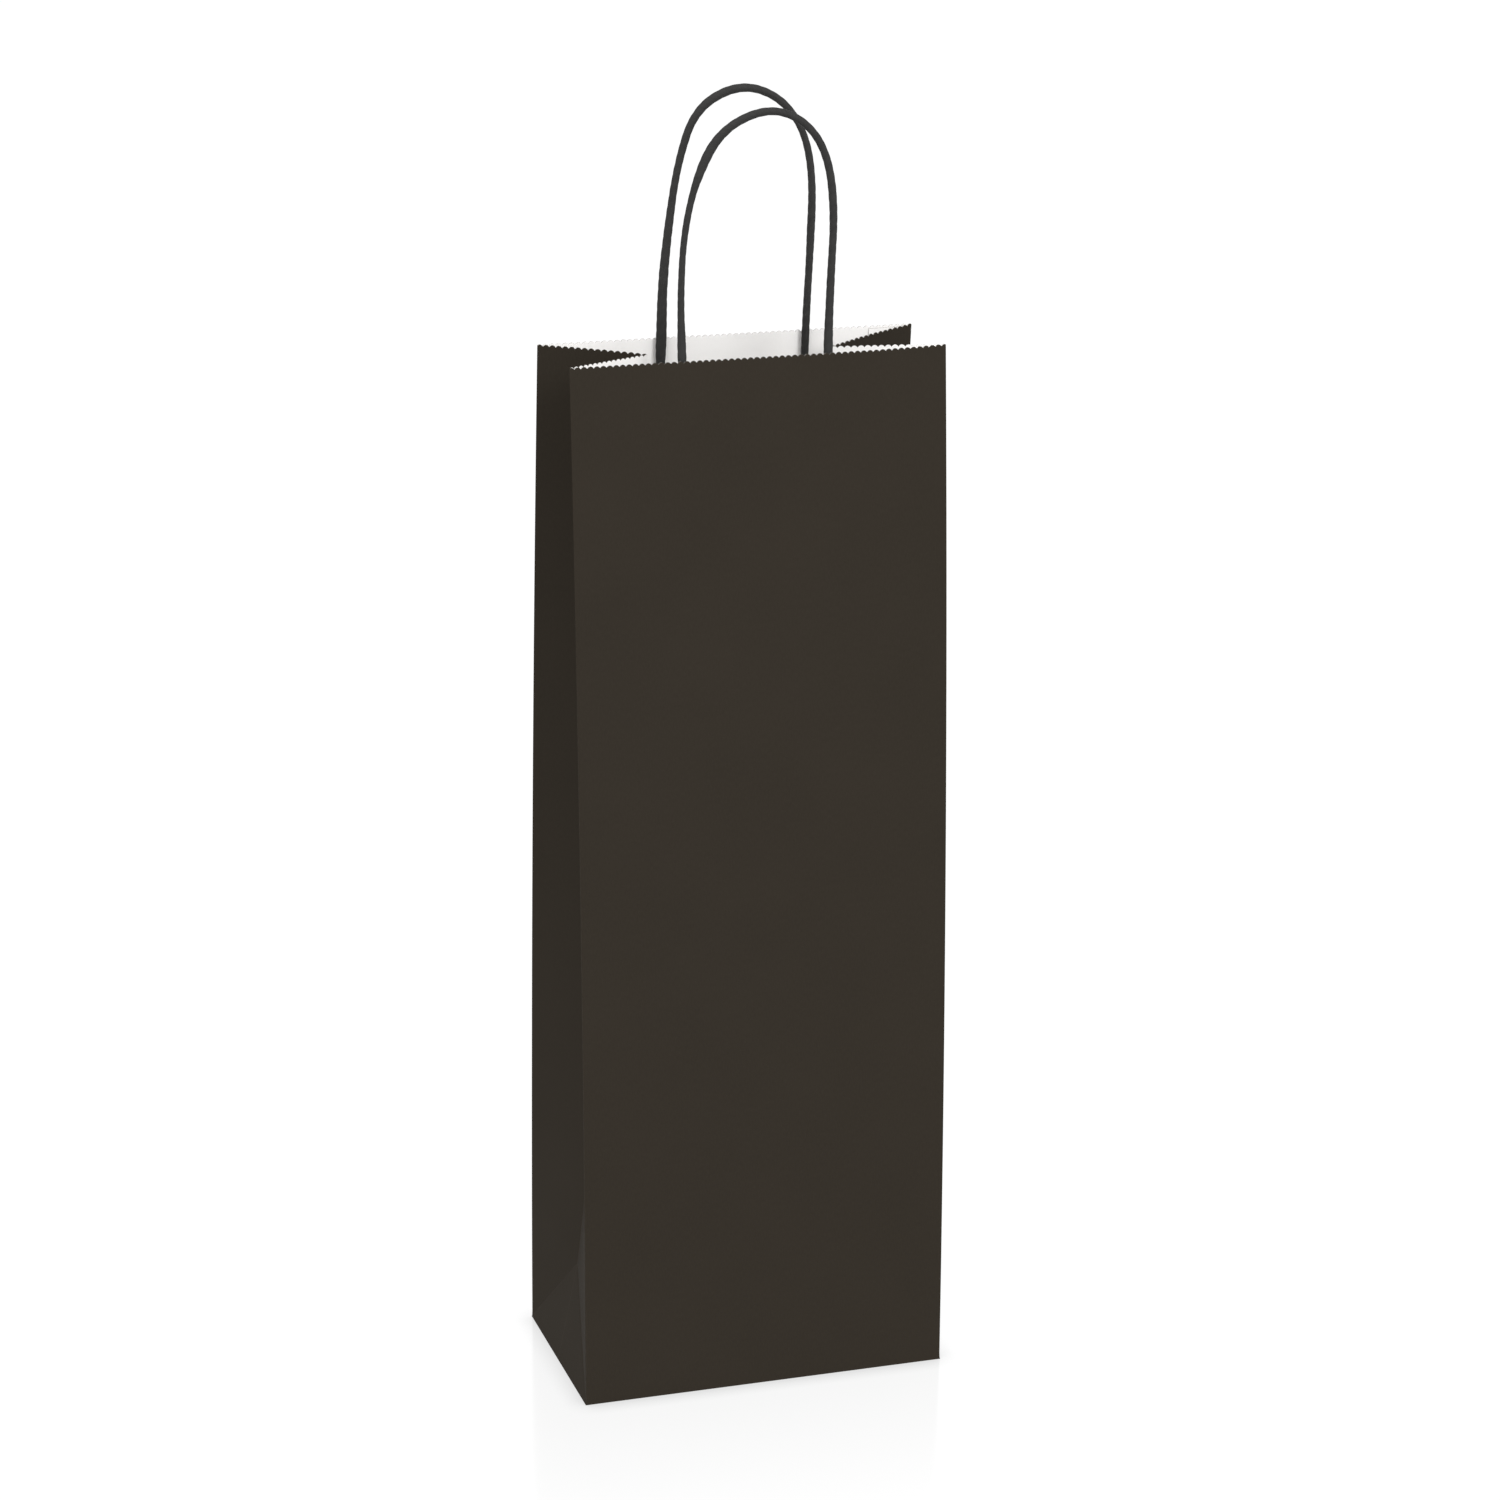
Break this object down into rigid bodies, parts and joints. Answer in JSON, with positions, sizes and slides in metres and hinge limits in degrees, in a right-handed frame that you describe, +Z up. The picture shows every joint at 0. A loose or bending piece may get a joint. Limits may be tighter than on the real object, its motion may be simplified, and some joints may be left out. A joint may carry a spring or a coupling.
{
  "type": "wine gift bag",
  "caption": "Tall one-bottle paper gift bag with a folded block bottom, side gussets, a pinked mouth and twisted-paper cord handles glued inside.",
  "frame": {"origin": "middle of the base, on the surface the bag stands on", "axes": "+Z up, -Y out of the front panel, +X to the right of the front panel"},
  "size_m": [0.14, 0.08, 0.4803],
  "materials": {
    "bag_paper": "matt, printed charcoal brown outside and white inside",
    "patch_paper": "uncoated white",
    "cord_paper": "twisted charcoal kraft",
    "glue": "dried white paste"
  },
  "bodies": {
    "base": {"left_gusset_front": "bag_paper", "left_gusset_back": "bag_paper", "right_gusset_front": "bag_paper", "right_gusset_back": "bag_paper", "left_gusset_foot": "bag_paper", "right_gusset_foot": "bag_paper", "front_bottom_flap": "bag_paper", "back_bottom_flap": "bag_paper", "left_end_flap": "bag_paper", "right_end_flap": "bag_paper", "bottom_paste": "glue"},
    "front_side": {"front_panel": "bag_paper", "front_patch_ply": "patch_paper", "front_patch_cover": "patch_paper", "front_handle_glue": "glue", "front_handle_ends": "cord_paper"},
    "back_side": {"back_panel": "bag_paper", "side_seam_tab": "bag_paper", "side_seam_glue": "glue", "back_patch_ply": "patch_paper", "back_patch_cover": "patch_paper", "back_handle_glue": "glue", "back_handle_ends": "cord_paper"},
    "front_loop": {"front_handle": "cord_paper"},
    "back_loop": {"back_handle": "cord_paper"}
  },
  "joints": [
    {"name": "mouth_front", "type": "hinge", "parent": "base", "child": "front_side", "pos_m": [0, -0.04, 0], "axis": [1, 0, 0], "range_deg": [-1.7, 2.94], "stiffness_Nm_per_rad": 0.3, "deforming": ["left_gusset_front", "left_gusset_back", "right_gusset_front", "right_gusset_back"]},
    {"name": "mouth_back", "type": "hinge", "parent": "base", "child": "back_side", "pos_m": [0, 0.04, 0], "axis": [-1, 0, 0], "range_deg": [-1.7, 2.94], "stiffness_Nm_per_rad": 0.3},
    {"name": "front_handle_bend", "type": "hinge", "parent": "front_side", "child": "front_loop", "pos_m": [0, -0.01787, 0.39288], "axis": [1, 0, 0], "range_deg": [-1, 120], "stiffness_Nm_per_rad": 0.01},
    {"name": "back_handle_bend", "type": "hinge", "parent": "back_side", "child": "back_loop", "pos_m": [0, 0.01787, 0.39288], "axis": [-1, 0, 0], "range_deg": [-1, 120], "stiffness_Nm_per_rad": 0.01}
  ],
  "couplings": [
    {"joint": "mouth_back", "follows": "mouth_front", "ratio": 1}
  ]
}
